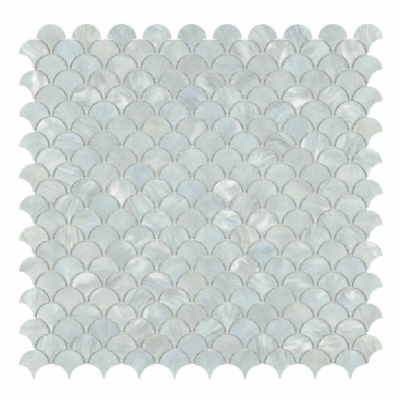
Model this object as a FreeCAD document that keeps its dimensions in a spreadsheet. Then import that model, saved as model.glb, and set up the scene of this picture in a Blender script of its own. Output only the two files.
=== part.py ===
import FreeCAD, Part
import math
import os
import Sketcher

# Fish scale mosaic sheet: scales cut from pearl shell, laid in staggered rows on a glass-fibre net.
# +X runs along the rows, +Y the way the round ends point, +Z out of the pearl face.
# The origin is on the back of the net, under the middle of the sheet.

# Driving sizes in millimetres, and the two counts of the sheet.
DRIVING_SIZES = [
    ("scale_width", 25.4, "widest part of a scale, twice the radius of its dome"),
    ("scale_thickness", 2.0, "shell thickness"),
    ("flank_radius", 12.6, "radius of the two hollow flanks"),
    ("cusp_rise", 0.05, "how far above the dome's centre a flank meets the dome"),
    ("tip_width", 1.5, "narrowest part of the stem, at the blunt tip"),
    ("arris", 0.25, "chamfer round the pearl face"),
    ("side_joint", 1.7, "grout gap between a tip and the dome on each side of it"),
    ("top_joint", 0.75, "gap over the top of a dome"),
    ("tip_joint", 2.0, "gap from a tip down to the dome two rows below"),
    ("rows", 22, "rows of scales"),
    ("columns", 10, "scales in a row"),
    ("yarn_width", 0.9, "width of a flattened glass yarn"),
    ("yarn_thickness", 0.1, "thickness of one layer of yarns"),
    ("net_pitch", 5.0, "spacing of the yarns"),
    ("net_inset", 1.0, "how far the net stops inside the centres of the outermost scales"),
]

# Sizes that follow from the driving ones.
DOME_RADIUS = "(Sizes.scale_width / 2)"
COLUMN_PITCH = "(Sizes.scale_width + Sizes.tip_width + 2 * Sizes.side_joint)"
CUSP_X = f"sqrt({DOME_RADIUS} ^ 2 - Sizes.cusp_rise ^ 2)"
# A flank runs down beside the stem and up to the cusp, which places the centre of its arc.
FLANK_CENTRE_X = "(Sizes.flank_radius + Sizes.tip_width / 2)"
FLANK_RISE = f"sqrt(Sizes.flank_radius ^ 2 - ({FLANK_CENTRE_X} - {CUSP_X}) ^ 2)"
FLANK_CENTRE_DROP = f"({FLANK_RISE} - Sizes.cusp_rise)"
# A dome nests between two flanks of the row above, a joint below the tops of their arcs.
ROW_PITCH = f"({FLANK_CENTRE_DROP} - Sizes.flank_radius + {DOME_RADIUS} + Sizes.top_joint)"
TIP_DROP = f"(2 * {ROW_PITCH} - {DOME_RADIUS} - Sizes.tip_joint)"
# Domes reach further than tips, so the middle of the rows lies a little below the sheet's middle.
MIDDLE_SHIFT = f"(({TIP_DROP} - {DOME_RADIUS}) / 2)"
NET_WIDTH = f"((Sizes.columns - 0.5) * {COLUMN_PITCH} - 2 * Sizes.net_inset)"
NET_HEIGHT = f"((Sizes.rows - 1) * {ROW_PITCH} - 2 * Sizes.net_inset)"
NET_THICKNESS = "(2 * Sizes.yarn_thickness)"


def write_sizes(doc):
    """Make the sheet of driving sizes: name, value and meaning, one to a line."""
    sheet = doc.addObject("Spreadsheet::Sheet", "Sizes")
    for line, (name, value, meaning) in enumerate(DRIVING_SIZES, start=1):
        sheet.set(f"A{line}", name)
        sheet.set(f"B{line}", str(value))
        sheet.setAlias(f"B{line}", name)
        sheet.set(f"C{line}", meaning)
    doc.recompute()
    return sheet


def new_body(doc, label):
    """Make a body that may hold several loose solids."""
    body = doc.addObject("PartDesign::Body", label)
    body.Label = label
    body.AllowCompound = True
    return body


def origin_part(body, role):
    """Return a plane or an axis of the body's own origin."""
    return next(part for part in body.Origin.OriginFeatures if part.Role == role)


def place(body, x, y, z):
    """Bind the body's place to the sheet."""
    for axis, expression in (("x", x), ("y", y), ("z", z)):
        body.setExpression(f"Placement.Base.{axis}", expression)


def repeat(body, role, spacing, count):
    """Repeat all that the body holds so far along one of its axes."""
    body.Document.recompute()
    pattern = body.newObject("PartDesign::LinearPattern", "repeat")
    pattern.TransformMode = "Whole shape"
    pattern.Direction = (origin_part(body, role), [""])
    pattern.Mode = "Spacing"
    pattern.setExpression("Offset", spacing)
    pattern.setExpression("Occurrences", count)
    body.Tip = pattern


def scale_outline(body, sheet):
    """Sketch one scale round its dome's centre: dome, cusps, hollow flanks and blunt tip."""
    radius = sheet.evalExpression(DOME_RADIUS)
    cusp_x = sheet.evalExpression(CUSP_X)
    cusp_rise = sheet.evalExpression("Sizes.cusp_rise")
    flank_radius = sheet.evalExpression("Sizes.flank_radius")
    flank_x = sheet.evalExpression(FLANK_CENTRE_X)
    flank_drop = sheet.evalExpression(FLANK_CENTRE_DROP)
    tip_drop = sheet.evalExpression(TIP_DROP)
    dome_start = math.asin(cusp_rise / radius)
    tip_angle = math.asin((flank_drop - tip_drop) / flank_radius)
    cusp_angle = math.acos((flank_x - cusp_x) / flank_radius)
    tip_x = flank_x - flank_radius * math.cos(tip_angle)

    def at(x, y):
        return FreeCAD.Vector(x, y, 0)

    def arc(middle, arc_radius, first_angle, last_angle):
        circle = Part.Circle(middle, FreeCAD.Vector(0, 0, 1), arc_radius)
        return sketch.addGeometry(Part.ArcOfCircle(circle, first_angle, last_angle))

    def rule(*terms):
        return sketch.addConstraint(Sketcher.Constraint(*terms))

    def size(name, expression, *terms):
        value = sheet.evalExpression(expression)
        sketch.renameConstraint(rule(*terms, value), name)
        sketch.setExpression(f"Constraints.{name}", expression)

    sketch = body.newObject("Sketcher::SketchObject", "outline")
    sketch.AttachmentSupport = (origin_part(body, "XY_Plane"), [""])
    sketch.MapMode = "FlatFace"

    dome = arc(at(0, 0), radius, dome_start, math.pi - dome_start)
    left_flank = arc(at(-flank_x, -flank_drop), flank_radius, tip_angle, cusp_angle)
    tip = sketch.addGeometry(Part.LineSegment(at(-tip_x, -tip_drop), at(tip_x, -tip_drop)))
    right_flank = arc(at(flank_x, -flank_drop), flank_radius, math.pi - cusp_angle, math.pi - tip_angle)

    start, end, centre = 1, 2, 3
    origin = (-1, 1)
    rule("Coincident", dome, centre, *origin)
    rule("Coincident", dome, end, left_flank, end)
    rule("Coincident", left_flank, start, tip, start)
    rule("Coincident", tip, end, right_flank, end)
    rule("Coincident", right_flank, start, dome, start)
    rule("Horizontal", tip)
    rule("Equal", left_flank, right_flank)
    size("dome_radius", DOME_RADIUS, "Radius", dome)
    size("flank_radius", "Sizes.flank_radius", "Radius", left_flank)
    size("left_cusp_rise", "Sizes.cusp_rise", "DistanceY", *origin, dome, end)
    size("right_cusp_rise", "Sizes.cusp_rise", "DistanceY", *origin, dome, start)
    size("left_flank_centre", FLANK_CENTRE_X, "DistanceX", left_flank, centre, *origin)
    size("right_flank_centre", FLANK_CENTRE_X, "DistanceX", *origin, right_flank, centre)
    size("tip_drop", TIP_DROP, "DistanceY", tip, start, *origin)
    return sketch


def scale_row(doc, sheet, row):
    """Make one row of scales; rows count from 0 at the top and step right and left by turns."""
    body = new_body(doc, f"scale_row_{row + 1:02d}")
    slab = body.newObject("PartDesign::Pad", "slab")
    slab.Profile = scale_outline(body, sheet)
    slab.setExpression("Length", "Sizes.scale_thickness")
    doc.recompute()

    faces = slab.Shape.Faces
    pearl_face = max(range(len(faces)), key=lambda number: faces[number].CenterOfMass.z)
    arris = body.newObject("PartDesign::Chamfer", "arris")
    arris.Base = (slab, [f"Face{pearl_face + 1}"])
    arris.setExpression("Size", "Sizes.arris")

    repeat(body, "X_Axis", COLUMN_PITCH, "Sizes.columns")
    step = "+ 1" if row % 2 == 0 else "- 1"
    place(
        body,
        f"(({step}) / 4 - (Sizes.columns - 1) / 2) * {COLUMN_PITCH}",
        f"(Sizes.rows - 1 - {2 * row}) / 2 * {ROW_PITCH} + {MIDDLE_SHIFT}",
        NET_THICKNESS,
    )
    return body


def yarn(body, length, width):
    """Make one flat yarn from the body's origin."""
    strip = body.newObject("PartDesign::AdditiveBox", "yarn")
    strip.setExpression("Length", length)
    strip.setExpression("Width", width)
    strip.setExpression("Height", "Sizes.yarn_thickness")


def yarn_count(span):
    """Count the yarns that a span of the net holds at their spacing."""
    return f"(floor({span} / Sizes.net_pitch) + 1)"


def first_yarn(span):
    """Place the first yarn's edge so that the yarns lie evenly about the middle of the span."""
    return f"(-({yarn_count(span)} - 1) / 2 * Sizes.net_pitch - Sizes.yarn_width / 2)"


def warp_yarns(doc):
    """Make the lower layer of the net, with its yarns running up the sheet."""
    body = new_body(doc, "warp_yarns")
    yarn(body, "Sizes.yarn_width", NET_HEIGHT)
    repeat(body, "X_Axis", "Sizes.net_pitch", yarn_count(NET_WIDTH))
    place(body, first_yarn(NET_WIDTH), f"{MIDDLE_SHIFT} - {NET_HEIGHT} / 2", "0")
    return body


def weft_yarns(doc):
    """Make the upper layer of the net, which lies on the warp and carries the scales."""
    body = new_body(doc, "weft_yarns")
    yarn(body, NET_WIDTH, "Sizes.yarn_width")
    repeat(body, "Y_Axis", "Sizes.net_pitch", yarn_count(NET_HEIGHT))
    place(body, f"-{NET_WIDTH} / 2", f"{MIDDLE_SHIFT} + {first_yarn(NET_HEIGHT)}", "Sizes.yarn_thickness")
    return body


def check(doc, bodies):
    """Stop if a feature failed or a body is empty or faulty."""
    for thing in doc.Objects:
        if {"Invalid", "Error"} & set(thing.State):
            raise RuntimeError(f"{thing.Label} failed: {thing.State}")
    for body in bodies:
        if body.Shape.isNull() or not body.Shape.isValid():
            raise RuntimeError(f"{body.Label} has no valid shape")


def main():
    doc = FreeCAD.newDocument("fish_scale_sheet")
    sheet = write_sizes(doc)
    bodies = [scale_row(doc, sheet, row) for row in range(int(sheet.get("rows")))]
    bodies += [warp_yarns(doc), weft_yarns(doc)]
    doc.recompute()
    check(doc, bodies)

    os.makedirs("parts", exist_ok=True)
    for body in bodies:
        body.Shape.exportStep(f"parts/{body.Label}.step")
        print(f"{body.Label}: {len(body.Shape.Solids)} solids, {body.Shape.Volume:.1f} mm3")


main()
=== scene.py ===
# %% [markdown]
# A fish scale mosaic sheet in pearl shell.
# The real sheet is 220 scales sawn from flat blanks of shell, polished on one face and glued by hand,
# ten to a row, on a net of glass yarn. The CAD model gives the frame: where each row lies, how wide
# the joints are and how thick the sheet is. Blender adds what CAD leaves plain: the pearl itself, the
# rounded edges, the small unevenness of hand work and the bulge of the yarns.

# %% The frame
import math
import random

import bmesh
import bpy
from mathutils import Matrix, Vector


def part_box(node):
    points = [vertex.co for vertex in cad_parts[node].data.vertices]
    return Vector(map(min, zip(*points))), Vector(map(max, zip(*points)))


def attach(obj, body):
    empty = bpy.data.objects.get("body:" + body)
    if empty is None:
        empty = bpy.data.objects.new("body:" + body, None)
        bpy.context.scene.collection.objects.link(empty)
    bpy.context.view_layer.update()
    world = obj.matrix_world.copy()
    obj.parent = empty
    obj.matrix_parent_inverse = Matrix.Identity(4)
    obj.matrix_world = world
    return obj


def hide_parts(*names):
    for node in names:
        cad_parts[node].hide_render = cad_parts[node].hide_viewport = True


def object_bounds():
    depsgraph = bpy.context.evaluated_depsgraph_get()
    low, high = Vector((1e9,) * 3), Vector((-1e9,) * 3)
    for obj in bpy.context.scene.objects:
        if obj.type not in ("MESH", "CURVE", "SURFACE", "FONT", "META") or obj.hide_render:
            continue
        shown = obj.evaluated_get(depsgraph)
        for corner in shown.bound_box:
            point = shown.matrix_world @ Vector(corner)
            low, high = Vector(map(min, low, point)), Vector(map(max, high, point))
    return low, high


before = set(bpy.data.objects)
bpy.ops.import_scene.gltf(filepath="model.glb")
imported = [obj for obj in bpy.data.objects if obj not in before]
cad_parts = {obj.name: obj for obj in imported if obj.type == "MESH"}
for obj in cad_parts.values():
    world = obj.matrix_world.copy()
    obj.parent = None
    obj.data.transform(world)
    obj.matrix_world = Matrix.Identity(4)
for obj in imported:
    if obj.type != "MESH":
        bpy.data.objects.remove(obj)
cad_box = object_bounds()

MM = 0.001
row_nodes = sorted(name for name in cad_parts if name.startswith("scale_row"))
cad_size = [(high - low) / MM for low, high in zip(*cad_box)]
print("CAD sheet, mm:", [round(size, 2) for size in cad_size], "in", len(row_nodes), "rows")

# %% [markdown]
# Small helpers carry all the finishes. `paint` turns a colour as a paint chart gives it, 0 to 255, into
# the linear numbers that a shader works with. `put` adds a node and `feed` joins it up: an input that
# is given a socket is linked, and any other value is set on the input itself. `combine` is one step of
# arithmetic. `swing` centres a pattern, which runs from 0 to 1, on zero and gives it a reach.

# %% Helpers for finishes
WHITE = (1, 1, 1, 1)


def new_finish(name):
    """Make a material, and return it with the tree of its nodes."""
    material = bpy.data.materials.new(name)
    material.use_nodes = True
    return material, material.node_tree


def paint(*levels):
    """A colour of three levels from 0 to 255 as linear red, green, blue and 1."""
    shares = [level / 255 for level in levels]
    return (*[s / 12.92 if s <= 0.04045 else ((s + 0.055) / 1.055) ** 2.4 for s in shares], 1)


def feed(tree, node, inputs):
    """Link or set the inputs of a node."""
    for key, value in inputs.items():
        if isinstance(value, bpy.types.NodeSocket):
            tree.links.new(value, node.inputs[key])
        else:
            node.inputs[key].default_value = value


def put(tree, kind, inputs=None, **settings):
    """Add a node to the tree, with its settings and its inputs."""
    node = tree.nodes.new(kind)
    for name, value in settings.items():
        setattr(node, name, value)
    feed(tree, node, inputs or {})
    return node


def combine(tree, first, second, operation="ADD"):
    """Join two values by one step of arithmetic."""
    return put(tree, "ShaderNodeMath", {0: first, 1: second}, operation=operation).outputs[0]


def swing(tree, pattern, reach):
    """Centre a pattern on zero and scale it, so that it can be added to another."""
    centred = combine(tree, pattern, 0.5, "SUBTRACT")
    return combine(tree, centred, reach, "MULTIPLY")


print("white paint is", [round(part, 3) for part in paint(255, 255, 255)])

# %% [markdown]
# More helpers make patterns and colours. `noise` gives soft random clouds, and `stretched` squeezes
# them one way into streaks. `ramp` lays colours side by side for a value to pick from, and `mixed`
# blends two. `lined_finish` joins them into a whole finish for things with fine lines along them.

# %% Helpers for patterns
def noise(tree, vector, detail, roughness=0.5, scale=1.0):
    """Soft random clouds, as a value and as a colour."""
    inputs = {"Vector": vector, "Scale": scale, "Detail": detail, "Roughness": roughness}
    return put(tree, "ShaderNodeTexNoise", inputs)


def stretched(tree, vector, across, along, up=1):
    """Squeeze a pattern one way and draw it out another, into streaks."""
    return put(tree, "ShaderNodeMapping", {"Vector": vector, "Scale": (across, along, up)}).outputs[0]


def ramp(tree, value, stops):
    """Colours side by side, from which a value between 0 and 1 picks."""
    node = put(tree, "ShaderNodeValToRGB", {"Fac": value})
    elements = node.color_ramp.elements
    for place, _ in stops[1:-1]:
        elements.new(place)
    for stop, (place, colour) in zip(elements, stops):
        stop.position, stop.color = place, colour
    return node.outputs["Color"]


def mixed(tree, share, first, second):
    """Two colours blended: the first where the share is 0, the second where it is 1."""
    # The node numbers its sockets over all types: 0 is the share, 6 and 7 and output 2 are colours.
    return put(tree, "ShaderNodeMix", {0: share, 6: first, 7: second}, data_type="RGBA").outputs[2]


def lined_finish(name, squeeze, raggedness, dark, light, relief, depth, roughness):
    """A pale finish with fine lines in its colour and its bump, squeezed by an amount each way."""
    material, tree = new_finish(name)
    where = put(tree, "ShaderNodeTexCoord").outputs["Object"]
    squeezed = stretched(tree, where, *squeeze)
    lines = noise(tree, squeezed, detail=3.0, roughness=raggedness).outputs["Fac"]
    bump = put(tree, "ShaderNodeBump", {"Height": lines, "Strength": relief, "Distance": depth})
    surface = {
        "Base Color": ramp(tree, lines, [(0.3, dark), (0.7, light)]),
        "Normal": bump.outputs["Normal"],
        "Roughness": roughness,
    }
    feed(tree, tree.nodes["Principled BSDF"], surface)
    print(f"{name}: {len(tree.nodes)} nodes")
    return material


print("patterns: noise, streaks, ramps, blends and lines")

# %% [markdown]
# The pearl face. Mother-of-pearl is thin layers of shell, cut through at a low angle by the grinding,
# so each scale shows soft bands and streaks that run one way, over slow clouds of pale blue, green,
# lilac and cream, with a fine grain in them. No two scales were cut the same way round. So the pattern
# is read from a UV map named "cut", which places each scale at its own spot and angle on one wide sheet
# of shell, and each scale carries a "tone" of four numbers: how warm it is, how light, how banded and
# how strong its painted glint is, a white highlight painted into the colour.

# %% Pearl: where the layers run
BEND = 2.4
pearl, tree = new_finish("polished_pearl")
cut = put(tree, "ShaderNodeUVMap", uv_map="cut").outputs["UV"]
tone = put(tree, "ShaderNodeAttribute", attribute_name="tone").outputs
warmth, lightness, banding = put(tree, "ShaderNodeSeparateColor", {"Color": tone["Color"]}).outputs
# The tone's fourth number is the painted glint: how strong a scale's painted highlight is.
painted_glint = tone["Alpha"]

drift = noise(tree, cut, detail=1.0, scale=0.25).outputs["Color"]
bent = put(
    tree, "ShaderNodeVectorMath", {0: drift, 1: (BEND, BEND, 0), 2: cut}, operation="MULTIPLY_ADD"
).outputs[0]
bands = noise(tree, stretched(tree, bent, 1.4, 0.22), detail=4.0, roughness=0.62).outputs["Fac"]
streaks = noise(tree, stretched(tree, bent, 5.5, 0.7), detail=3.0, roughness=0.6).outputs["Fac"]
clouds = noise(tree, cut, detail=1.5, scale=0.5).outputs["Fac"]
grain = noise(tree, cut, detail=3.0, roughness=0.6, scale=4.0).outputs["Fac"]
print("pearl layers:", len(tree.nodes), "nodes so far")

# %% [markdown]
# Now the colour of the pearl. A ramp lays the tints of the shell side by side, from a cool blue
# through green and lilac greys to cream, and the scale's warmth, stirred by a second cloud, picks
# from it. Clouds, bands, streaks and grain then lighten or darken that tint. Even a scale that is
# hardly banded shows its layers a little.

# %% Pearl: colour
TINTS = [
    (0.00, paint(185, 208, 217)),
    (0.30, paint(190, 208, 214)),
    (0.50, paint(193, 211, 210)),
    (0.62, paint(199, 209, 212)),
    (0.78, paint(197, 212, 207)),
    (1.00, paint(202, 210, 203)),
]
HUE_SWING, CLOUD_SWING, BAND_SWING, STREAK_SWING, GRAIN_SWING = 0.98, 0.5, 1.4, 1.0, 0.42
LEAST_BANDING = 0.16

hues = noise(tree, stretched(tree, bent, 1.0, 0.4), detail=1.0).outputs["Fac"]
tint = ramp(tree, combine(tree, warmth, swing(tree, hues, HUE_SWING)), TINTS)

banded = combine(tree, banding, LEAST_BANDING)
band_light = combine(tree, swing(tree, bands, BAND_SWING), banded, "MULTIPLY")
streak_light = combine(tree, swing(tree, streaks, STREAK_SWING), banded, "MULTIPLY")
light = combine(tree, swing(tree, clouds, CLOUD_SWING), combine(tree, band_light, streak_light))
light = combine(tree, light, swing(tree, grain, GRAIN_SWING))
# A scale's lightness lies about a half, so another half leaves the plain tint as it is.
light = combine(tree, combine(tree, light, lightness), 0.5)
shaded = put(tree, "ShaderNodeHueSaturation", {"Color": tint, "Value": light}).outputs["Color"]
print("pearl colour:", len(TINTS), "tints")

# %% [markdown]
# The flashes, which are painted highlights. Where a layer comes up steeply towards the lamps, pearl
# shows a soft white gleam; here that gleam is painted into the colour. Only scales with some painted
# glint have them, and the grain breaks them up so that they don't look sprayed on.

# %% Pearl: painted highlights
PAINTED_FLASH_STARTS, PAINTED_FLASH_FULL = 0.45, 0.75
LEAST_GRAIN = 0.6
painted_flashes = noise(tree, stretched(tree, bent, 1.2, 0.55), detail=1.5)
feed(tree, painted_flashes, {"Distortion": 0.5})
painted_flash = put(
    tree,
    "ShaderNodeMapRange",
    {"Value": painted_flashes.outputs["Fac"], "From Min": PAINTED_FLASH_STARTS, "From Max": PAINTED_FLASH_FULL},
    interpolation_type="SMOOTHSTEP",
).outputs[0]
painted_flash = combine(tree, painted_flash, painted_glint, "MULTIPLY")
painted_flash = combine(tree, painted_flash, combine(tree, grain, LEAST_GRAIN), "MULTIPLY")
# The near-white here is a painted highlight, mixed into the pearl colour where the noise passes.
pearl_colour_and_painted_flash = mixed(tree, painted_flash, shaded, paint(250, 253, 254))
print("flashes where the noise passes", PAINTED_FLASH_STARTS)

# %% [markdown]
# The polish. The face is flat and glossy, but the layers under the polish lie at many small angles,
# which is what makes pearl shimmer. So the bump moves only the body of the shell, while the coat, the
# polished skin over it, keeps the true flat face. A thin film tints the gloss as nacre does.

# %% Pearl: polish
height = combine(tree, swing(tree, streaks, 1.0), swing(tree, bands, 0.5))
layers = put(tree, "ShaderNodeBump", {"Height": height, "Strength": 0.25, "Distance": 0.4 * MM})
polish = put(tree, "ShaderNodeMapRange", {"Value": streaks, "To Min": 0.22, "To Max": 0.42})
nacre = {
    "Base Color": pearl_colour_and_painted_flash,
    "Roughness": polish.outputs[0],
    "Normal": layers.outputs["Normal"],
    "IOR": 1.55,
    "Coat Weight": 0.35,
    "Coat Roughness": 0.08,
    "Thin Film Thickness": 420,
    "Thin Film IOR": 1.4,
}
feed(tree, tree.nodes["Principled BSDF"], nacre)
print("polished pearl:", len(tree.nodes), "nodes")

# %% [markdown]
# The sawn edge. Between the polished face and the net the saw has left the shell matt and pale, with
# its layers showing as fine level lines. The arris, the edge that is ground round the face, is as
# matt, so it takes this finish too; there its pale colour is in part a painted highlight, a light rim
# that stands in for the lamps' gleam on the rounded edge and lifts its shade. The lines could be
# modelled as ridges, but each is a tenth of a millimetre thin, so a noise that is squeezed in height
# draws them in colour and bump.

# %% Sawn shell
sawn_and_rim_highlight = lined_finish(
    "sawn_shell_and_rim_highlight",
    squeeze=(60, 60, 4500),
    raggedness=0.65,
    dark=paint(236, 241, 237),
    light=paint(246, 249, 247),
    relief=0.4,
    depth=0.1 * MM,
    roughness=0.6,
)

# %% [markdown]
# Three helpers for shapes. `corners` picks the corners out of what a mesh operator gives back. `add`
# brings a thing into the scene, and `add_mesh` does so for a finished mesh with its finishes.

# %% Helpers for shapes
def corners(parts):
    """The corners among some parts of a mesh."""
    return [part for part in parts if isinstance(part, bmesh.types.BMVert)]


def add(name, data):
    """Bring a thing into the scene."""
    thing = bpy.data.objects.new(name, data)
    bpy.context.scene.collection.objects.link(thing)
    return thing


def add_mesh(name, bm, *finishes):
    """Bring a finished mesh into the scene, with its finishes."""
    mesh = bpy.data.meshes.new(name)
    bm.to_mesh(mesh)
    bm.free()
    for finish in finishes:
        mesh.materials.append(finish)
    return add(name, mesh)


# %% [markdown]
# One scale to copy. Its outline is a walk of one point: up the right flank, over the dome and down
# the left flank, each a spin about its own centre, which is how the arcs are drawn in CAD too. The
# outline is filled, extruded to its thickness, and its upper edge rounded as grinding leaves it. It is
# a little thinner than in CAD, which leaves room to tip it. It is laid 220 times, so it has only a few
# dozen faces.

# %% The scale
DOME_RADIUS = 12.7 * MM
FLANK_RADIUS = 12.6 * MM
CUSP_RISE = 0.05 * MM
TIP_WIDTH = 1.5 * MM
THICKNESS = 1.9 * MM
ARRIS = 0.25 * MM
DOME_STEPS, FLANK_STEPS, EDGE_STEPS = 14, 6, 2
LEVEL = 0.99

low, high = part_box(row_nodes[0])
tip_drop = high.y - low.y - DOME_RADIUS
cusp_x = math.sqrt(DOME_RADIUS**2 - CUSP_RISE**2)
flank_x = FLANK_RADIUS + TIP_WIDTH / 2
flank_drop = math.sqrt(FLANK_RADIUS**2 - (flank_x - cusp_x) ** 2) - CUSP_RISE
tip_angle = math.asin((flank_drop - tip_drop) / FLANK_RADIUS)
cusp_angle = math.acos((flank_x - cusp_x) / FLANK_RADIUS)
tip_x = flank_x - FLANK_RADIUS * math.cos(tip_angle)
dome_turn = math.pi - 2 * math.asin(CUSP_RISE / DOME_RADIUS)
flank_turn = cusp_angle - tip_angle


def round_off(bm, edges, width):
    """Round some edges of a mesh."""
    bmesh.ops.bevel(
        bm, geom=edges, offset=width, affect="EDGES", segments=EDGE_STEPS, profile=0.5, material=-1
    )


def walk(bm, corner, centre, turn, steps):
    """Spin a corner about a centre, and return the corner that it ends on."""
    swept = bmesh.ops.spin(
        bm, geom=[corner], cent=(*centre, 0), axis=(0, 0, 1), angle=turn, steps=steps
    )
    return corners(swept["geom_last"])[0]


def scale_to_copy(bm):
    """Make one scale round its dome's centre, with its back at height 0."""
    right_tip = bm.verts.new((tip_x, -tip_drop, 0))
    right_cusp = walk(bm, right_tip, (flank_x, -flank_drop), -flank_turn, FLANK_STEPS)
    left_cusp = walk(bm, right_cusp, (0, 0), dome_turn, DOME_STEPS)
    left_tip = walk(bm, left_cusp, (-flank_x, -flank_drop), -flank_turn, FLANK_STEPS)
    bmesh.ops.contextual_create(bm, geom=[right_tip, left_tip])
    back = bmesh.ops.contextual_create(bm, geom=bm.edges[:])["faces"]
    raised = bmesh.ops.extrude_face_region(bm, geom=back)["geom"]
    bmesh.ops.translate(bm, vec=(0, 0, THICKNESS), verts=corners(raised))
    bmesh.ops.recalc_face_normals(bm, faces=bm.faces[:])
    rim = [e for e in bm.edges if all(v.co.z > THICKNESS / 2 for v in e.verts)]
    round_off(bm, rim, ARRIS)
    for face in bm.faces:
        # The level face that looks up is polished (0). The arris, walls and back are sawn (1); on the
        # arris the pale sawn colour is partly a painted highlight.
        face.material_index = 0 if face.normal.z > LEVEL else 1
        face.smooth = abs(face.normal.z) < LEVEL


trial = bmesh.new()
scale_to_copy(trial)
print(f"one scale: {len(trial.faces)} faces, {trial.calc_volume() / MM**3:.0f} mm3")
trial.free()

# %% [markdown]
# Chance. Each scale gets its own piece of the shell and its own tone, drawn from one list of chances
# that is the same at every run. Half of the scales have no painted glint at all, and few are strongly
# banded.

# %% A scale's own look
SHELL_UNIT, SHELL_REACH = 10 * MM, 400
WARMTH_SPREAD, LIGHTNESS_SPREAD = 0.11, 0.028
BANDING_POWER = 2.2
PAINTED_GLINT_STARTS, PAINTED_GLINT_POWER, PAINTED_GLINT_GAIN = 0.5, 1.5, 2.65
laying = random.Random(22)


def near(spread, most=2.0):
    """A chance value about zero with a given spread, cut off at some times that spread."""
    return max(-most, min(most, laying.gauss(0, 1))) * spread


def draw_tone():
    """Warmth, lightness, banding and painted glint of one scale."""
    warmth = 0.5 + near(WARMTH_SPREAD, most=2.2)
    lightness = 0.5 + near(LIGHTNESS_SPREAD, most=2.5)
    banding = laying.random() ** BANDING_POWER
    # The glint is the strength of the scale's painted highlight, not a colour of the shell.
    painted_glint = max(0.0, laying.random() - PAINTED_GLINT_STARTS) ** PAINTED_GLINT_POWER * PAINTED_GLINT_GAIN
    return warmth, lightness, banding, painted_glint


def cut_from_shell(faces, layer):
    """Give a scale its own spot and angle on the sheet of shell."""
    turn = Matrix.Rotation(laying.uniform(0, math.tau), 2)
    spot = Vector([laying.uniform(-SHELL_REACH, SHELL_REACH) for _ in range(2)])
    for face in faces:
        for loop in face.loops:
            loop[layer].uv = turn @ (loop.vert.co.xy / SHELL_UNIT) + spot


print("a sheet of shell", 2 * SHELL_REACH * SHELL_UNIT, "m wide to cut from")

# %% [markdown]
# The laying. A hand sets each scale on the net, so none sits quite true: it is off by a fraction of
# a millimetre, turned by part of a degree and tipped by less. Array modifiers would lay them too
# evenly. The scale is copied with bmesh, given its own look and then moved. Scales at the rim only
# stray inwards, so that the sheet keeps the size of the CAD model.

# %% Rows of scales
COLUMNS = 10
STRAY, TURN, LEAN = 0.17 * MM, math.radians(0.5), math.radians(0.1)
CLEAR = 0.03 * MM


def stray_from(number, column):
    """How far a scale lies from its true place; at the rim of the sheet it strays inwards."""
    x, y = near(STRAY), near(STRAY)
    steps_right = number % 2 == 0
    if steps_right and column == COLUMNS - 1:
        x = -abs(x)
    if not steps_right and column == 0:
        x = abs(x)
    if number == 0:
        y = -abs(y)
    if number == len(row_nodes) - 1:
        y = abs(y)
    return x, y


def lay_row(node, number):
    """Lay the scales of one row over its CAD node."""
    low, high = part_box(node)
    first_x, middle_y = low.x + DOME_RADIUS, high.y - DOME_RADIUS
    pitch = (high.x - low.x - 2 * DOME_RADIUS) / (COLUMNS - 1)
    bm = bmesh.new()
    cut_layer = bm.loops.layers.uv.new("cut")
    tone_layer = bm.faces.layers.float_color.new("tone")
    scale_to_copy(bm)
    pattern = bm.verts[:] + bm.edges[:] + bm.faces[:]
    for column in range(COLUMNS):
        copied = bmesh.ops.duplicate(bm, geom=pattern)["geom"]
        faces = [part for part in copied if isinstance(part, bmesh.types.BMFace)]
        cut_from_shell(faces, cut_layer)
        own_tone = draw_tone()
        for face in faces:
            face[tone_layer] = own_tone
        stray_x, stray_y = stray_from(number, column)
        place = Matrix.Translation(
            (first_x + column * pitch + stray_x, middle_y + stray_y, low.z + CLEAR)
        )
        lean = Matrix.Rotation(near(LEAN), 4, "X") @ Matrix.Rotation(near(LEAN), 4, "Y")
        matrix = place @ Matrix.Rotation(near(TURN), 4, "Z") @ lean
        bmesh.ops.transform(bm, matrix=matrix, verts=corners(copied))
    bmesh.ops.delete(bm, geom=corners(pattern), context="VERTS")
    row = add_mesh(f"pearl_row_{number + 1:02d}", bm, pearl, sawn_and_rim_highlight)
    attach(row, "root")
    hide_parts(node)
    return row


rows = [lay_row(node, number) for number, node in enumerate(row_nodes)]
print(len(rows), "rows,", sum(len(row.data.polygons) for row in rows), "faces")

# %% [markdown]
# The net. A real backing net is glass yarn: bundles of fine filaments pressed flat, one set across
# the other. In CAD each yarn is a plain strip. Here its two upper edges are rounded as well, because
# a bundle that is pressed on a table stays flat below and bulges above. One yarn is made from a cube
# and copied at the spacing of the net.

# %% Yarns
YARN_PITCH = 5 * MM
YARN_WIDTH = 0.9 * MM
SHOULDER_SHARE = 0.6
FILAMENTS_ACROSS, FILAMENTS_ALONG = 9000, 60


def yarn_finish(name, along):
    """Glass yarn: pale, a little glossy, with filaments along it."""
    squeeze = [FILAMENTS_ACROSS] * 3
    squeeze[along] = FILAMENTS_ALONG
    return lined_finish(
        name,
        squeeze,
        raggedness=0.6,
        dark=paint(219, 225, 220),
        light=paint(227, 233, 228),
        relief=0.2,
        depth=0.08 * MM,
        roughness=0.4,
    )


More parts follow.
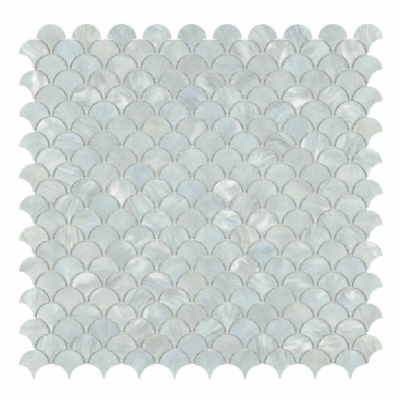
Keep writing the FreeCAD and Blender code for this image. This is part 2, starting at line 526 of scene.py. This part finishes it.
def lay_yarns(node, along, finish_name):
    """Lay the yarns of one layer over its CAD node; along is 0 for X and 1 for Y."""
    low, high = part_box(node)
    across = 1 - along
    count = round((high[across] - low[across] - YARN_WIDTH) / YARN_PITCH) + 1
    size = high - low
    size[across] = YARN_WIDTH
    bm = bmesh.new()
    strip = bmesh.ops.create_cube(bm, size=1)["verts"]
    bmesh.ops.scale(bm, vec=size, verts=strip)
    bmesh.ops.translate(bm, vec=low + size / 2, verts=strip)
    shoulders = [
        e for e in bm.edges
        if e.verts[0].co[across] == e.verts[1].co[across] and min(v.co.z for v in e.verts) > low.z
    ]
    round_off(bm, shoulders, SHOULDER_SHARE * size.z)
    for face in bm.faces:
        face.smooth = True
    yarn = bm.verts[:] + bm.edges[:] + bm.faces[:]
    step = Vector((0, 0, 0))
    step[across] = YARN_PITCH
    for number in range(1, count):
        copied = bmesh.ops.duplicate(bm, geom=yarn)["geom"]
        bmesh.ops.translate(bm, vec=step * number, verts=corners(copied))
    layer = add_mesh(f"glass_{node}", bm, yarn_finish(finish_name, along))
    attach(layer, "root")
    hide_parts(node)
    print(layer.name, count, "yarns,", len(layer.data.polygons), "faces")


lay_yarns("warp_yarns", 1, "glass_yarn_up")
lay_yarns("weft_yarns", 0, "glass_yarn_across")

# %% [markdown]
# The table. The sheet was photographed flat on white. So beside the sheet the floor is white paint
# under a white glow that only the camera and reflections see, and the glow makes it read as plain
# white. Near the sheet the glow gives way a little, so that the paint shows the sheet's soft shadow.
# Under the net the floor has no glow, because the joints show it in the shade of the scales, and its
# paint is greyer: painted shade that darkens the joints beyond that real shade. So the paint needs to
# know two things: which rays look at it, and how far it is from the net.

# %% What the table's paint needs to know
def seen_directly(tree):
    """1 for rays that show the background itself, to the camera or in a reflection."""
    path = put(tree, "ShaderNodeLightPath").outputs
    shown = combine(tree, path["Is Camera Ray"], path["Is Glossy Ray"], "MAXIMUM")
    return combine(tree, shown, path["Is Transmission Ray"], "MAXIMUM")


def off_net(tree):
    """How far a spot of the floor lies outside the net's outline, below 0 for a spot under it."""
    low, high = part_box("warp_yarns")
    spot = put(tree, "ShaderNodeTexCoord").outputs["Object"]
    place = put(tree, "ShaderNodeSeparateXYZ", {0: spot}).outputs
    past = []
    for axis in (0, 1):
        middle = (low[axis] + high[axis]) / 2
        half = (high[axis] - low[axis]) / 2
        from_middle = combine(tree, place[axis], middle, "SUBTRACT")
        away = put(tree, "ShaderNodeMath", {0: from_middle}, operation="ABSOLUTE").outputs[0]
        past.append(combine(tree, away, half, "SUBTRACT"))
    return combine(tree, *past, "MAXIMUM")


print("the paint asks", seen_directly.__name__, "and", off_net.__name__)

# %% [markdown]
# The floor itself is one large square, a hair below the net so that the two don't flicker. It is not
# attached to the sheet's body, so it is not part of the sheet.

# %% Floor
FLOOR_HALF, FLOOR_DROP = 6, 0.01 * MM
SHADOW_SHARE, SHADOW_REACH = 0.12, 80 * MM

white, tree = new_finish("white_table")
tree.nodes.clear()
distance = off_net(tree)
beside = combine(tree, distance, 0.0, "GREATER_THAN")
# Under the net the paint is greyer than beside it: painted shade for what the joints show.
coat = mixed(tree, beside, paint(212, 217, 213), paint(254, 254, 254))
matt = put(tree, "ShaderNodeBsdfDiffuse", {"Color": coat})
glow = put(tree, "ShaderNodeEmission", {"Color": WHITE, "Strength": 1.0})
glow_share = put(
    tree,
    "ShaderNodeMapRange",
    {"Value": distance, "From Max": SHADOW_REACH, "To Min": 1 - SHADOW_SHARE},
    interpolation_type="SMOOTHSTEP",
).outputs[0]
glow_beside = combine(tree, beside, glow_share, "MULTIPLY")
bright = combine(tree, seen_directly(tree), glow_beside, "MULTIPLY")
both = put(tree, "ShaderNodeMixShader", {0: bright, 1: matt.outputs[0], 2: glow.outputs[0]})
put(tree, "ShaderNodeOutputMaterial", {"Surface": both.outputs[0]})

bm = bmesh.new()
bmesh.ops.create_grid(bm, x_segments=1, y_segments=1, size=FLOOR_HALF)
bmesh.ops.translate(bm, vec=(0, 0, -FLOOR_DROP), verts=bm.verts[:])
floor = add_mesh("floor", bm, white)
print("floor:", floor.name, 2 * FLOOR_HALF, "m wide")

# %% [markdown]
# The light. A flat thing is copied under two lamps, one on each side, so that no gloss comes back to
# the camera. That is what the picture shows: joints that run up the sheet lie in shade and joints
# over the tops of the domes are lit. Two wide soft lamps do this, with a dim even sky to fill.

# %% Lamps and sky
LAMP_AWAY, LAMP_RISE, LAMP_POWER = 1.2, math.radians(56), 8.2
LAMP_WIDTH, LAMP_LENGTH = 0.8, 1.2
SKY_FILL = 0.12

for name, side in (("left_lamp", -1), ("right_lamp", 1)):
    lamp = bpy.data.lights.new(name, "AREA")
    lamp.shape = "RECTANGLE"
    lamp.size, lamp.size_y = LAMP_WIDTH, LAMP_LENGTH
    lamp.energy = LAMP_POWER
    holder = add(name, lamp)
    holder.location = (side * LAMP_AWAY * math.cos(LAMP_RISE), 0, LAMP_AWAY * math.sin(LAMP_RISE))
    holder.rotation_euler = (-holder.location).to_track_quat("-Z", "Y").to_euler()
    holder.visible_camera = False

sky = bpy.data.worlds.new("soft_sky")
sky.use_nodes = True
tree = sky.node_tree
tree.nodes.clear()
fill = put(tree, "ShaderNodeBackground", {"Color": WHITE, "Strength": SKY_FILL})
plain = put(tree, "ShaderNodeBackground", {"Color": WHITE, "Strength": 1.0})
both = put(
    tree, "ShaderNodeMixShader", {0: seen_directly(tree), 1: fill.outputs[0], 2: plain.outputs[0]}
)
put(tree, "ShaderNodeOutputWorld", {"Surface": both.outputs[0]})
bpy.context.scene.world = sky
bpy.context.scene.view_settings.view_transform = "Standard"
print("two lamps of", LAMP_POWER, "W at", LAMP_AWAY, "m")

# %% [markdown]
# The camera. It hangs straight over the sheet with a long lens, four metres up, so that all scales
# are seen square on. The picture is 344 mm wide at the sheet, whose middle lies a little to the right
# of and below the picture's own middle.

# %% Camera
SEEN_WIDTH, CAMERA_UP, CAMERA_FAR = 344.3 * MM, 4.0, 50
OFF_MIDDLE = (-0.77 * MM, 1.16 * MM)
SENSOR_WIDTH = 36

lens = bpy.data.cameras.new("camera")
lens.sensor_width = SENSOR_WIDTH
lens.lens = SENSOR_WIDTH * (CAMERA_UP - cad_box[1].z) / SEEN_WIDTH
lens.clip_end = CAMERA_FAR
camera = add("camera", lens)
camera.location = (*OFF_MIDDLE, CAMERA_UP)
bpy.context.scene.camera = camera
print(f"lens {lens.lens:.0f} mm")
